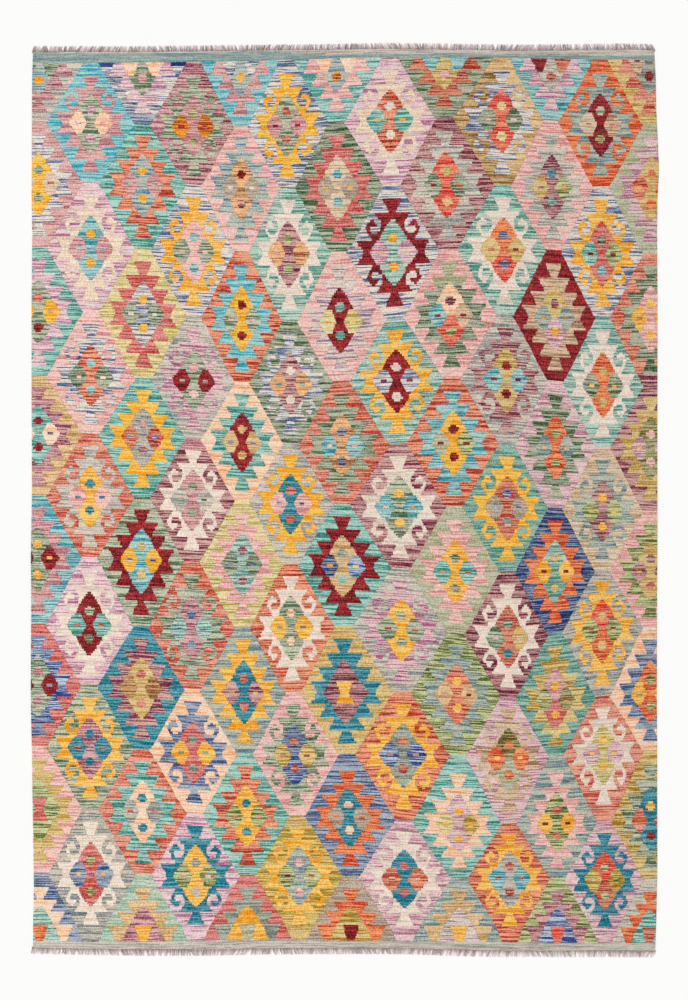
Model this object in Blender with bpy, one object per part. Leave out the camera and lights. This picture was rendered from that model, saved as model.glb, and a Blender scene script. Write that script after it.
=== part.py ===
"""A flat-woven kilim rug, about 2.0 m by 2.9 m, lying flat, with a short fringe at each end.

The frame is in metres with +Z up. X runs across the rug, along its weft, and Y along its warp.
The origin is under the middle of the rug, on the surface that it lies on. The far end, at +Y,
is the one with the sea-green band, and the near end, at -Y, the one with the stone band.

The cloth is one sheet with the wavering edges of a hand-woven piece. Each fringe is a comb:
its strands stand apart, and their knotted roots run together in a narrow strip that is parted
from the cloth's edge.
"""

import math
import random

import bmesh
import bpy

# ------------------------------------------------------------ driving dimensions, in metres

RUG_WIDTH = 2.013            # between the outermost points of the two long edges
RUG_LENGTH = 2.933           # between the outermost tips of the two fringes
CLOTH_THICKNESS = 0.003
EDGE_ROUNDING = 0.0009       # bevel along the rim of the cloth

FRINGE_REACH = 0.0205        # from the edge of the cloth to the tips of the strands
PARTING = 0.0003             # slit between the edge of the cloth and the strip of roots
STRIP_WIDTH = 0.0042
STRIP_THICKNESS = 0.0026
STRANDS_PER_END = 148
STRAND_TIP_THICKNESS = 0.0014
ROOT_WIDTH_SHARE = 0.70      # width of a strand at its root, as a share of the pitch
TIP_WIDTH_SHARE = 0.42       # and at its tip
SHORTEST_STRAND = 0.84       # length of the shortest strand, as a share of the longest
LEAN = 0.0055                # how far a strand's tip is combed sideways, at most
STRAY_LEAN = 0.0010          # and how far it strays from its neighbours
STRAND_STEPS = (0.55, 1.0)   # places of a strand's bend and tip, as shares of its length

CLOTH_COLUMNS = 20           # faces across the cloth
CLOTH_ROWS = 30              # faces along the cloth

# The long edges waver: how far each one lies inside the full width.
# place along Y in metres, left edge in mm, right edge in mm
SIDE_EDGES = (
    (-1.445, 7.5, 13.0),
    (-1.362, 7.0, 10.0),
    (-1.282, 10.0, 7.5),
    (-1.120, 8.5, 5.5),
    (-0.960, 5.5, 6.0),
    (-0.800, 3.5, 6.0),
    (-0.640, 0.0, 7.0),
    (-0.320, 1.5, 6.5),
    (-0.160, 0.0, 5.5),
    (0.000, 3.5, 5.5),
    (0.320, 2.5, 5.5),
    (0.640, 2.5, 5.0),
    (0.880, 4.5, 6.5),
    (0.960, 2.5, 5.5),
    (1.075, 3.0, 0.0),
    (1.220, 3.5, 8.0),
    (1.350, 4.0, 10.5),
    (1.445, 7.0, 15.5),
)

# The ends bow: how far the tips of each fringe lie inside the full length.
# place along X in metres, far end in mm, near end in mm
END_EDGES = (
    (-0.990, 9.5, 12.5),
    (-0.900, 10.0, 10.5),
    (-0.720, 10.5, 6.5),
    (-0.450, 7.5, 6.0),
    (-0.270, 5.5, 9.5),
    (-0.095, 4.0, 11.0),
    (0.085, 0.5, 11.0),
    (0.175, 0.0, 11.0),
    (0.265, 1.0, 8.5),
    (0.445, 4.0, 2.5),
    (0.535, 5.0, 2.5),
    (0.715, 4.0, 2.0),
    (0.895, 1.5, 1.5),
    (0.980, 4.0, 0.0),
)

LEFT, RIGHT = 1, 2           # columns of SIDE_EDGES
FAR, NEAR = 1, 2             # columns of END_EDGES
END_SIGN = {FAR: 1, NEAR: -1}
MM = 0.001

CLOTH_COLOUR = (0.42, 0.30, 0.27, 1.0)
FRINGE_COLOUR = (0.43, 0.36, 0.35, 1.0)


# ------------------------------------------------------------ outline

def smooth_value(table, column, place):
    """Read a column of a table at any place, on a smooth curve through its rows."""
    places = [row[0] for row in table]
    values = [row[column] * MM for row in table]
    last = len(table) - 1
    place = min(max(place, places[0]), places[-1])
    low = max(i for i in range(last) if places[i] <= place)
    high = low + 1

    def slope(i):
        before, after = max(i - 1, 0), min(i + 1, last)
        return (values[after] - values[before]) / (places[after] - places[before])

    span = places[high] - places[low]
    t = (place - places[low]) / span
    return ((2 * t**3 - 3 * t**2 + 1) * values[low]
            + (t**3 - 2 * t**2 + t) * span * slope(low)
            + (3 * t**2 - 2 * t**3) * values[high]
            + (t**3 - t**2) * span * slope(high))


def side_x(side, y):
    """X of a long edge at a place along the rug."""
    sign = 1 if side == RIGHT else -1
    return sign * (RUG_WIDTH / 2 - smooth_value(SIDE_EDGES, side, y))


def tip_y(end, x):
    """Y of the fringe's tips at a place across the rug."""
    return END_SIGN[end] * (RUG_LENGTH / 2 - smooth_value(END_EDGES, end, x))


def cloth_point(across, along):
    """Point of the cloth at shares of its width and length, both from 0 to 1."""
    near_middle = tip_y(NEAR, 0) + FRINGE_REACH
    far_middle = tip_y(FAR, 0) - FRINGE_REACH
    rough_y = near_middle + along * (far_middle - near_middle)
    left, right = side_x(LEFT, rough_y), side_x(RIGHT, rough_y)
    x = left + across * (right - left)
    near, far = tip_y(NEAR, x) + FRINGE_REACH, tip_y(FAR, x) - FRINGE_REACH
    return x, near + along * (far - near)


def cloth_end(end):
    """Points along one end of the cloth, from left to right, as its faces have them."""
    along = 1 if end == FAR else 0
    return [cloth_point(i / CLOTH_COLUMNS, along) for i in range(CLOTH_COLUMNS + 1)]


def y_on(points, x):
    """Y of a chain of points at a place across the rug."""
    for (x0, y0), (x1, y1) in zip(points, points[1:]):
        if x <= x1:
            break
    return y0 + (y1 - y0) * (x - x0) / (x1 - x0)


# ------------------------------------------------------------ objects

def clear_scene():
    for thing in list(bpy.data.objects):
        bpy.data.objects.remove(thing, do_unlink=True)


def make_material(name, colour):
    material = bpy.data.materials.new(name)
    material.use_nodes = True
    shader = material.node_tree.nodes["Principled BSDF"]
    shader.inputs["Base Color"].default_value = colour
    shader.inputs["Roughness"].default_value = 0.95
    shader.inputs["Metallic"].default_value = 0.0
    return material


def add_object(name, mesh, material, parent, location=(0, 0, 0)):
    mesh.materials.append(material)
    piece = bpy.data.objects.new(name, mesh)
    bpy.context.collection.objects.link(piece)
    piece.parent = parent
    piece.location = location
    return piece


def build_cloth(material, parent):
    """The woven sheet: a grid fitted to the outline, thickened upwards, with a rounded rim."""
    mesh = bpy.data.meshes.new("cloth")
    shape = bmesh.new()
    grid = [[shape.verts.new((*cloth_point(i / CLOTH_COLUMNS, j / CLOTH_ROWS), 0))
             for i in range(CLOTH_COLUMNS + 1)]
            for j in range(CLOTH_ROWS + 1)]
    for lower, upper in zip(grid, grid[1:]):
        for i in range(CLOTH_COLUMNS):
            shape.faces.new((lower[i], lower[i + 1], upper[i + 1], upper[i]))
    shape.to_mesh(mesh)
    shape.free()

    cloth = add_object("cloth", mesh, material, parent)
    solid = cloth.modifiers.new("Thickness", "SOLIDIFY")
    solid.thickness = CLOTH_THICKNESS
    solid.offset = 1
    rim = cloth.modifiers.new("Rounded rim", "BEVEL")
    rim.width = EDGE_ROUNDING
    rim.segments = 1
    rim.limit_method = "ANGLE"
    rim.angle_limit = math.radians(40)
    return cloth


def combed_lean(x, phase):
    """How far the strands lean at a place across the rug, swaying from left to right."""
    return LEAN * (0.6 * math.sin(9.0 * x + phase) + 0.4 * math.sin(23.0 * x + 2.3 * phase))


def build_fringe(name, end, seed, material, parent):
    """One comb of strands, standing on the end of the cloth and lying on the floor."""
    chance = random.Random(seed)
    sign = END_SIGN[end]
    edge = cloth_end(end)
    anchor_y = y_on(edge, 0)
    left = edge[0][0] + EDGE_ROUNDING
    right = edge[-1][0] - EDGE_ROUNDING
    pitch = (right - left) / (STRANDS_PER_END - 1 + ROOT_WIDTH_SHARE)
    root_width = pitch * ROOT_WIDTH_SHARE

    shape = bmesh.new()

    def section(x):
        """The strip's cross-section: inner and outer side, on the floor and on top."""
        inner = y_on(edge, x) - anchor_y + sign * PARTING
        outer = inner + sign * STRIP_WIDTH
        corners = ((inner, 0), (inner, STRIP_THICKNESS), (outer, STRIP_THICKNESS), (outer, 0))
        return [shape.verts.new((x, y, z)) for y, z in corners]

    starts = [left + i * pitch for i in range(STRANDS_PER_END)]
    sections = [section(x) for start in starts for x in (start, start + root_width)]
    roots = []
    for number, (one, two) in enumerate(zip(sections, sections[1:])):
        for k in range(4):
            wall = shape.faces.new((one[k], one[k - 1], two[k - 1], two[k]))
            if k == 3 and number % 2 == 0:
                roots.append(wall)
    shape.faces.new(sections[0])
    shape.faces.new(reversed(sections[-1]))

    strands = []
    for start in starts:
        middle = start + root_width / 2
        root_y = y_on(edge, middle) - anchor_y + sign * (PARTING + STRIP_WIDTH)
        reach = abs(tip_y(end, middle) - anchor_y - root_y)
        strands.append({
            "middle": middle,
            "root_y": root_y,
            "length": reach * chance.uniform(SHORTEST_STRAND, 1.0),
            "lean": combed_lean(middle, seed) + chance.uniform(-STRAY_LEAN, STRAY_LEAN),
        })

    grown = roots
    for share in STRAND_STEPS:
        grown = bmesh.ops.extrude_discrete_faces(shape, faces=grown)["faces"]
        grown.sort(key=lambda face: face.calc_center_median().x)
        half_width = pitch * (ROOT_WIDTH_SHARE + share * (TIP_WIDTH_SHARE - ROOT_WIDTH_SHARE)) / 2
        thickness = STRIP_THICKNESS + share * (STRAND_TIP_THICKNESS - STRIP_THICKNESS)
        for strand, face in zip(strands, grown):
            centre_x = face.calc_center_median().x
            for corner in face.verts:
                side = 1 if corner.co.x > centre_x else -1
                corner.co.x = strand["middle"] + strand["lean"] * share**2 + side * half_width
                corner.co.y = strand["root_y"] + sign * strand["length"] * share
                corner.co.z = thickness if corner.co.z > 0 else 0

    bmesh.ops.recalc_face_normals(shape, faces=shape.faces[:])
    mesh = bpy.data.meshes.new(name)
    shape.to_mesh(mesh)
    shape.free()
    return add_object(name, mesh, material, parent, location=(0, anchor_y, 0))


def main():
    clear_scene()
    rug = bpy.data.objects.new("kilim_rug", None)
    bpy.context.collection.objects.link(rug)
    woven = make_material("woven wool", CLOTH_COLOUR)
    warp = make_material("warp ends", FRINGE_COLOUR)
    build_cloth(woven, rug)
    build_fringe("fringe_far", FAR, 3, warp, rug)
    build_fringe("fringe_near", NEAR, 8, warp, rug)


main()
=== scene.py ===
"""The looks of a kilim rug: a slit-tapestry wool rug with a short fringe at each end, lying flat.

Everything is in metres, +Z up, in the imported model's frame: X runs across the rug, along its weft,
and Y along its warp. The pattern is a lattice of hexagons in 13 columns. Cross lines, counted from
the far end, carry the hexagons of the even columns and of the odd columns in turn, and both sets
of lines waver as a weaver's work does. Each motif is charted once, a quarter of it, in warps
across and rows of weft along, and every hexagon is woven from it in yarns of its own.
"""

import math
import random

import bpy
import numpy as np
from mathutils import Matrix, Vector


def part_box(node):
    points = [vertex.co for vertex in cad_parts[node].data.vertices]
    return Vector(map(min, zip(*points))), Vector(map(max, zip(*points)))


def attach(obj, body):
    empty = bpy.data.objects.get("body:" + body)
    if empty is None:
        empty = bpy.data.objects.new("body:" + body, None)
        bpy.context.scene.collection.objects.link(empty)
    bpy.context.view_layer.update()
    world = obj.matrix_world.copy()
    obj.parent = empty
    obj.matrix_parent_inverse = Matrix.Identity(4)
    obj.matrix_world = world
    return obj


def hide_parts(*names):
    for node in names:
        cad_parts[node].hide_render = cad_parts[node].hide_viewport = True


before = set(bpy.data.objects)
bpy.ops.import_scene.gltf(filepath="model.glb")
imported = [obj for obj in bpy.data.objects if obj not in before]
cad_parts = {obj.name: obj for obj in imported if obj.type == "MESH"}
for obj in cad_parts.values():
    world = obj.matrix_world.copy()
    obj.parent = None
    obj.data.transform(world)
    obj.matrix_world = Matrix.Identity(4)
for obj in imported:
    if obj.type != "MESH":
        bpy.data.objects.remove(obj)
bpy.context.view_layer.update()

bl_info = {
    "name": "Kilim Rug",
    "version": (1, 0, 0),
    "blender": (4, 5, 0),
    "location": "3D View > Sidebar > Kilim",
    "description": "Weaves a hexagon-lattice kilim, its fringes and a plain studio round it",
    "category": "Object",
}

MM = 0.001

# ---------------- the loom

COLUMNS = 13                 # columns of hexagons, from left to right
LAST_LINE = 14               # cross lines run from 0 at the far end to this one at the near end
COLUMN_STEP = 56             # warps from the middle of one column to the next
MARGIN = 7                   # warps beyond the middles of the first and the last column
LEFT_WARP = -MARGIN          # warp 0 is the middle of the first column
LAST_WARP = (COLUMNS - 1) * COLUMN_STEP   # and this one is the middle of the last
RIGHT_WARP = LAST_WARP + MARGIN
HEXAGON_REACH = 48           # warps from a hexagon's middle to its side corners
HEXAGON_TOP = 8              # and to the corners at its top and bottom
ROWS_PER_LINE = 30           # rows that the weaver steps between two cross lines

# Where some of those rows lie between two cross lines, and after which lines they lie otherwise
TIER_ROWS = (0, 1, 6, 12, 18, 24, 29, 30)
TIER_TOPS = (0, 0.023, 0.182, 0.394, 0.606, 0.818, 0.977, 1)
ODD_TIER_TOPS = {
    0: (0, 0.025, 0.212, 0.424, 0.615, 0.818, 0.977, 1),
    13: (0, 0.024, 0.193, 0.383, 0.557, 0.752, 0.972, 1),
}

FAR_BAND_ROWS = 10           # rows of the plain band at the far end
NEAR_BAND_ROWS = 8
BAND_STEP = 14               # warps between two vertices along a band
BAND_DEPTH = 0.035           # metres of streaks in the depth of a band
LINE_DEPTH = 0.2015          # and between two cross lines

# Middle of each column, in mm from the rug's middle, at four cross lines down the rug. The first
# and last columns are cut by the edges, and lie LEFT_WARP and RIGHT_WARP away from them.
UPRIGHT_LINES = (1, 5, 9, 13)
UPRIGHTS = (
    (-815, -814, -819, -814),
    (-649, -646, -653, -646),
    (-484, -483, -492, -477),
    (-333, -330, -326, -311),
    (-189, -175, -173, -146),
    (-28, -13, -6, 19),
    (144, 166, 182, 191),
    (318, 344, 357, 367),
    (503, 518, 523, 529),
    (660, 675, 673, 681),
    (818, 827, 824, 834),
)

# Each cross line's place along the rug, in mm, in the columns whose hexagons have their middles
# on it: the even columns on the even lines, and the odd columns on the odd lines.
CROSS_LINES = (
    (1399, 1402, 1406, 1415, 1420, 1414, 1409),
    (1209, 1195, 1200, 1218, 1220, 1201),
    (1017, 1013, 1001, 1000, 1009, 1001, 1002),
    (807, 796, 791, 794, 804, 787),
    (607, 596, 578, 569, 593, 583, 584),
    (394, 381, 371, 383, 387, 364),
    (216, 203, 186, 173, 183, 167, 168),
    (10, 2, -10, -21, -23, -37),
    (-183, -190, -205, -211, -232, -228, -230),
    (-400, -413, -406, -412, -443, -409),
    (-591, -600, -618, -617, -622, -642, -618),
    (-793, -809, -818, -814, -826, -807),
    (-988, -997, -1014, -1015, -1041, -1036, -1028),
    (-1198, -1204, -1203, -1212, -1209, -1216),
    (-1413, -1416, -1408, -1411, -1415, -1418, -1420),
)

# ---------------- the charts

# A quarter of each motif. A line is a row, from a hexagon's middle row outwards. Each word is an
# area and how many warps it reaches from the hexagon's middle; the field fills what is left.
# c core, s side diamond, t the dot in it, m medallion, f field
STEPPED = """
c4 s10 t16 s23 m30
c5 s22 m31
c6 s20 m32
c7 s19 m33
c8 s18 m35
c9 s16 m36
c14 m21
c13 m22
c12 m23
c10 m25
c9 m26
c8 m27
c6 m12
c4 m13
c2 m14
m16
m17
m18
m4
m5
m6
m7
m8
m9
"""

HOOKED = """
c4 s10 t16 s24 m31
c5 s23 m32
c6 s22 m33
c7 s20 m35
c8 s19 m36
c9 s17 m37
c14 m22
c13 m23
c12 m25
c11 m15 f22 m26
c9 m13 f23 m27
c8 m12 f23 m28
c6 m12 f16 m27
c4 m12 f17 m25
c2 m13 f19 m23
m15
m16
m18
m4
m5
m6
m7
m8
m9
"""

# The halves of hexagons that aren't woven as charted: column, line, and True for an upper half
PLAIN_HALVES = {(1, 1, False)}   # without their hooks
SHORT_HALVES = {(6, 12, True), (8, 12, True), (10, 12, True), (11, 11, False)}
SHORTENING = 1.1             # rows of the chart in a row of a short half
DOT_ROW = 5                  # a core's dot begins in this row, or below the middle in the next one
DOT_REACHES = (3, 5, 5, 3)   # and reaches so many warps from the middle in its rows
HOURGLASS_ROWS = 6           # rows from the middle that an hourglass in a core fills
BAR_ROWS = 2                 # rows of the bar that some fields begin with at the far end

# The order of a hexagon's yarns: field, medallion, core, side diamonds, core dots, side dots and,
# on the first line, the field's bar
AREAS = "fmcsdtb"
CORE_AREAS = "cd"            # the areas that have only an upper and a lower part
PARTS = ("left", "right", "upper", "lower")

# The yarns of each hexagon, column by column. A pair is for its left or upper part and its right
# or lower part, and four are for the left, right, upper and lower parts. A dash for the side
# diamonds makes the core one piece with an hourglass of the dots' yarn in it.
COLOURWAYS = """
stone mauve mist darksage marigold darksage
dustyrose denimcream marigold sand sage coralred
seafoam orchid sage marigold rosered/burgundy plum
khaki mauve seafoam peach burgundy denim
turquoise dustyrose sage burgundy gold gold
rosered cobalt/cobalt/cobalt/navy sage burgundy dustyrose/plum turquoise
pink oliveyellow lime - rosered rosered
denim peach mint - vermilion vermilion

aqua dustyrose sage peach orchid orchid
orchid cream turquoise dustyrose marigold turquoise
pink denimcream brick darksage turquoise peach
salmon stone gold pink petrol petrol
orchid ivory burgundy seafoam sage coralred
sage gold mauve petrol petrol coralred
slate ivory rosered denim lime/moss gold

denimcream/denimcream/denimcream/denim orchid sage peach dustyrose peach indigo
seafoam brick mist dustyrose marigold sage
citron rosered denimcream darksage marigold ivory
seafoam marigold slate coralred plum cobalt
sage burgundy turquoise marigold oliveyellow cobalt
petrol plum oliveyellow brown rosered coralred
salmon seafoam peach slate petrol coralred
pistachio khaki mauve - gold gold

mauve/plum sage dustyrose amber lime burgundy/coralred
denimcream gold pink sage turquoise pink
stone magenta sage burgundy pink steel
plum/plum/dustyrose/plum ivory dustyrose stone darksage darksage
salmon sage mauve mint denim denim
peach denim rosered gold greyteal greyteal
orchid petrol gold lime slate pink

aqua dustyrose mist denimcream marigold denimcream
pink mist apricot taupe burgundy/plum ivory
brick aqua marigold sage burgundy pink
peach seafoam burgundy khaki oliveyellow denim
citron pink mint darksage plum denim
steel gold petrol plum coralred oliveyellow
seafoam brick gold/marigold lime petrol salmon
rosered greyteal gold - celadon celadon

denimcream marigold sage dustyrose coralred burgundy
mint ivory plum apricot lime lilac/coralred
darksage denimcream plum apricot ivory seafoam
stone marigold petrol pink coralred denim
brick ivory sage gold peach greyteal
pink sage navy/cobalt mustard coralred coralred
brass/brass/oliveyellow/oliveyellow gold steel lime pink burgundy/coralred

jade pink mist peach amber peach
darksage rosered sand taupe turquoise gold
pink heath burgundy citron mint/seafoam gold
salmon darksage apricot turquoise navy pink
seafoam burgundy khaki navy/cobalt greyteal/seafoam gold
oliveyellow petrol wine - gold gold
denim vermilion petrol taupe peach vermilion
taupe vermilion mustard - burgundy burgundy

orchid cream/cream/cream/ivory brick seafoam ivory gold
denimcream burgundy mint orchid gold oliveyellow
mint gold burgundy denimcream ivory burgundy
plum ivory sage turquoise gold pink/coralred
stone magenta gold/marigold sage sage coralred
brick gold greyteal cobalt coralred coralred
lilac ivory petrol brick rosered lime

darksage coralred mustard turquoise pink turquoise
plum/plum/wine/plum stone scarlet sage/darksage oliveyellow burgundy/vermilion
pink darksage/darksage/celadon/darksage peach/scarlet turquoise/tan wine/lime burgundy
brick turquoise gold/marigold celadon/lime burgundy burgundy
celadon pink gold seafoam sage coralred
lime steel brick khaki gold dustyrose/burgundy
seafoam peach lilac citron/mustard gold gold
steel khaki heath - gold gold

ochre/khaki/khaki/ochre denimcream scarlet darksage citron pink
mint/mint/seafoam/mint ivory vermilion/scarlet oliveyellow denim coralred/burgundy
stone plum mustard/oliveyellow turquoise burgundy burgundy
teal marigold coralred taupe cobalt/slate denim
wine ivory coralred sage/oliveyellow sage/petrol pink
lilac tan moss/celadon vermilion vermilion gold
brick gold slate turquoise coralred coralred

turquoise lilac stone burgundy/coralred coralred burgundy
pink stone plum/wine oliveyellow/lime petrol/mint plum/gold
burgundy tan oliveyellow/lilac steel wine/gold amber
lilac darksage vermilion steel lime oliveyellow
navy vermilion mint/teal gold oliveyellow burgundy
teal mustard dustyrose/rosered lime/moss gold amber
steel pink lime gold coralred burgundy
lime mauve cobalt - scarlet scarlet

vermilion steel burgundy sand/tan sage/lime tan/coralred
denimcream gold rosered seafoam/lime darksage/turquoise burgundy
mint ivory vermilion darksage oliveyellow gold
sand steel plum lime gold gold
slate gold scarlet/vermilion lime oliveyellow coralred
salmon ivory citron lilac gold gold
lilac petrol scarlet/coralred brass lime lime

oliveyellow salmon greyteal tan burgundy burgundy
celadon lilac oliveyellow brick vermilion gold
salmon/salmon/salmon/plum darksage pink gold gold plum
plum oliveyellow moss lilac pink gold
pink lime oliveyellow plum plum/coralred gold
peach denim vermilion gold lime sage
mustard sage petrol salmon gold/burgundy amber
stone vermilion seafoam - coralred coralred
"""

# ---------------- the yarns

# A line is a yarn: its name, the wool's own colour, the colour of its streaks (red, green and blue
# from 0 to 255) and how many hundredths of an area its streaks take up
YARNS = """
turquoise 162,200,196 66,146,156 50
aqua 154,200,200 62,162,174 50
jade 172,203,195 86,154,144 50
teal 146,182,166 80,134,122 50
seafoam 160,200,188 70,140,128 50
pistachio 190,203,182 142,176,158 45
mint 181,203,188 94,147,136 48
petrol 92,158,166 0,112,130 66
greyteal 166,173,157 120,127,119 50
mist 180,187,174 100,136,154 42
steel 180,186,170 114,136,138 48
denimcream 213,206,198 100,114,142 45
denim 158,168,180 72,94,130 50
cobalt 172,186,202 56,80,136 55
navy 132,144,164 38,60,106 55
indigo 52,72,138 30,48,108 50
sage 184,187,164 94,118,90 48
darksage 168,174,150 78,100,72 50
celadon 192,191,166 164,161,126 45
lime 190,192,142 98,110,56 48
moss 170,166,122 104,92,40 50
oliveyellow 216,190,134 185,149,80 42
citron 224,207,158 176,163,82 42
brass 212,188,112 160,126,6 55
mustard 216,191,128 162,129,16 46
gold 242,196,102 223,152,0 50
marigold 241,194,88 226,156,0 52
amber 224,148,52 164,66,16 45
ochre 196,164,118 134,98,46 48
sand 222,200,174 188,158,124 45
khaki 222,190,146 186,150,100 42
tan 213,185,156 160,124,100 40
brown 200,158,110 134,96,58 48
peach 243,212,186 232,172,126 34
apricot 229,178,132 160,112,76 40
vermilion 231,143,98 192,72,38 50
scarlet 230,134,110 200,56,50 52
coralred 208,138,112 166,60,50 50
brick 226,152,122 174,68,50 48
salmon 221,154,132 184,80,60 50
rosered 214,141,133 185,84,76 50
dustyrose 216,172,166 176,118,124 45
pink 235,195,186 210,147,143 40
lilac 223,193,192 178,128,143 42
orchid 226,197,198 182,126,150 42
magenta 222,187,188 170,110,136 48
heath 218,202,192 158,132,148 38
mauve 208,163,162 148,88,102 46
plum 198,155,151 126,60,76 50
wine 184,135,136 108,46,62 52
burgundy 152,46,50 108,16,24 47
cream 236,216,193 220,195,172 40
ivory 238,222,207 218,200,184 38
stone 207,197,182 150,150,146 45
slate 194,186,171 132,137,135 45
taupe 190,173,153 154,138,123 45
seagreen 160,173,167 120,146,145 50
oatmeal 204,197,186 164,159,149 45
"""
SHARE_SPREAD = 0.07          # how far that share differs from one area to another
DARKEST_LEVEL = 6            # no wool is dyed darker than this
PALEST_LEVEL = 250           # or paler than this

# The plain bands, from the outside in: yarns of each row left of the split and right of it
BAND_SPLIT = 310
SPLIT_STRAY = 24             # how many warps the split strays to either side
FAR_BAND = ((("oatmeal", "oatmeal"),) + (("seagreen", "oatmeal"),) * 5
            + (("seagreen", "seagreen"),) * (FAR_BAND_ROWS - 6))
NEAR_BAND = (("oatmeal", "oatmeal"),) * NEAR_BAND_ROWS

# ---------------- the render

PHOTO_SCALE = 3.205 * MM     # metres of rug in a pixel of the picture
IMAGE_HEIGHT = 1000          # pixels
SENSOR = 36.0                # mm, along the picture's height
LENS = 85.0                  # mm
VIEW_CENTRE = (-2.9 * MM, 0.5 * MM)   # the camera stands above this place
FARTHEST = 500               # metres that it sees
KEY_TILT = (math.radians(-28), math.radians(-22), 0)
FLOOR_GAP = 0.3 * MM         # from the floor up to the rug


def linear(colour):
    """Scene-linear red, green and blue of a colour given from 0 to 255."""
    shares = [level / 255 for level in colour]
    return tuple(s / 12.92 if s <= 0.04045 else ((s + 0.055) / 1.055) ** 2.4 for s in shares)


# ---------------- settings

def length(name, description, default, low, high):
    return bpy.props.FloatProperty(name=name, description=description, default=default,
                                   min=low, max=high, unit="LENGTH", precision=5)


def share(name, description, default, high=1.0):
    return bpy.props.FloatProperty(name=name, description=description, default=default,
                                   min=0.0, max=high)


def colour(name, description, default):
    return bpy.props.FloatVectorProperty(name=name, description=description, subtype="COLOR",
                                         size=3, default=linear(default), min=0.0, max=1.0)


class WeaveSettings(bpy.types.PropertyGroup):
    """The cloth: its thickness, its weave and how unevenly it is woven."""

    thickness: length("Thickness", "Thickness of the cloth", 2.9 * MM, 1 * MM, 6 * MM)
    rim: length("Rim", "Width of the rounded rim", 1.0 * MM, 0.2 * MM, 3 * MM)
    selvedge: length("Selvedge", "Width of the corded edge along each side", 5.5 * MM, 0, 0.02)
    selvedge_rise: length("Selvedge rise", "Height of that edge", 0.35 * MM, 0, 0.002)
    lift: length("Lift", "How far the cloth rises off the floor in low waves", 0.5 * MM, 0, 0.004)
    warp_pitch: length("Warp pitch", "Distance between two warps", 2.93 * MM, 1 * MM, 0.01)
    pick_pitch: length("Pick pitch", "Distance between two picks", 1.15 * MM, 0.3 * MM, 0.005)
    streak_height: length("Streak height", "Usual height of a streak", 4.6 * MM, 1 * MM, 0.03)
    streak_length: length("Streak length", "Distance over which a streak fades", 0.26, 0.02, 2.0)
    streak_contrast: share("Streak contrast", "How far the streaks stand out", 1.32, 3.0)
    dye: share("Dye", "Strength of the yarns' colours", 1.11, 2.0)
    chew: share("Chewed edges", "How ragged the edges of a streak are", 0.55, 3.0)
    fleck: share("Flecks", "How much the hand-spun wool varies in hue", 0.35)
    row_waver: length("Row waver", "How far a row of weft strays from level", 0.7 * MM, 0, 0.005)
    stray: share("Stray", "How far an area's edge strays from the chart, in warps", 0.35, 3.0)
    # Slit shade: painted shade, the wool drawn darker in the slits between two areas
    slit_shade: share("Slit shade", "How dark the slits between two areas are", 0.40)
    # Painted light: the wool is drawn paler towards the left-hand edge and darker towards the right,
    # as light falling off across the rug
    painted_light_falloff: share("Fading", "How much paler the wool has faded towards the left-hand edge", 0.15)
    heather: share("Heather", "How much the hand-spun wool varies in tone", 0.74)
    ribs: share("Ribs", "How much the ribs over the warps vary in tone", 1.3, 3.0)
    relief: share("Relief", "Strength of the weave's relief", 0.55)


class FringeSettings(bpy.types.PropertyGroup):
    """The warp ends left loose at each end of the cloth."""

    locks: bpy.props.IntProperty(name="Locks", description="Knotted locks at each end",
                                 default=148, min=10, max=300)
    yarns: bpy.props.IntProperty(name="Yarns", description="Yarns in a lock",
                                 default=12, min=1, max=16)
    reach: length("Reach", "From the edge of the cloth to the tips", 20.5 * MM, 5 * MM, 0.1)
    overlap: length("Overlap", "Length of a lock that lies in the cloth", 2.0 * MM, 0, 0.01)
    knot: length("Knot", "Width of the knots at a lock's root", 4.0 * MM, 1 * MM, 0.01)
    yarn_width: length("Yarn width", "Width of a yarn at its root", 1.6 * MM, 0.3 * MM, 0.004)
    root_spread: length("Root spread", "Width of a lock at its root", 12.5 * MM, 0, 0.03)
    tip_spread: length("Tip spread", "Width of a lock at its tips", 13.5 * MM, 0, 0.03)
    lean: length("Lean", "How far a lock is combed sideways, at most", 10.0 * MM, 0, 0.02)
    shortest: share("Shortest", "Length of the shortest yarn, as a share of the longest", 0.86)
    root_colour: colour("Root colour", "Colour of the warp ends by their knots", (182, 161, 155))
    tip_colour: colour("Tip colour", "Colour of their worn tips", (224, 210, 209))


class StudioSettings(bpy.types.PropertyGroup):
    """The floor, the light and the camera."""

    floor_colour: colour("Floor colour", "Colour of the studio floor", (254, 254, 253))
    floor_size: length("Floor size", "Side of the studio floor", 120.0, 5.0, 500.0)
    sky: share("Fill light", "Strength of the even light from all round", 0.62, 5.0)
    key: share("Key light", "Strength of the broad light from the upper left", 1.42, 10.0)
    key_softness: bpy.props.FloatProperty(
        name="Key softness", description="Width of the key light", default=math.radians(35),
        subtype="ANGLE")


# ---------------- shader nodes

def maths(operation, reflected=False):
    """A method that adds a Math node, for one of Python's operators or a function."""
    def method(self, *others):
        values = [*others, self] if reflected else [self, *others]
        return self.shader.add("ShaderNodeMath", {"operation": operation}, dict(enumerate(values)))
    return method


class Maths:
    """A shader socket on which Python's operators add Math nodes."""

    def __init__(self, shader, socket):
        self.shader = shader
        self.socket = socket

    __add__ = __radd__ = maths("ADD")
    __mul__ = __rmul__ = maths("MULTIPLY")
    __sub__ = maths("SUBTRACT")
    __rsub__ = maths("SUBTRACT", reflected=True)
    __truediv__ = maths("DIVIDE")
    __rtruediv__ = maths("DIVIDE", reflected=True)
    __abs__ = maths("ABSOLUTE")
    sine = maths("SINE")
    floor = maths("FLOOR")
    least = maths("MINIMUM")

    def between(self, low, high):
        """0 below low, 1 above high and smooth between them."""
        return self.shader.add("ShaderNodeMapRange", {"interpolation_type": "SMOOTHSTEP"},
                               {"Value": self, "From Min": low, "From Max": high})


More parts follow.
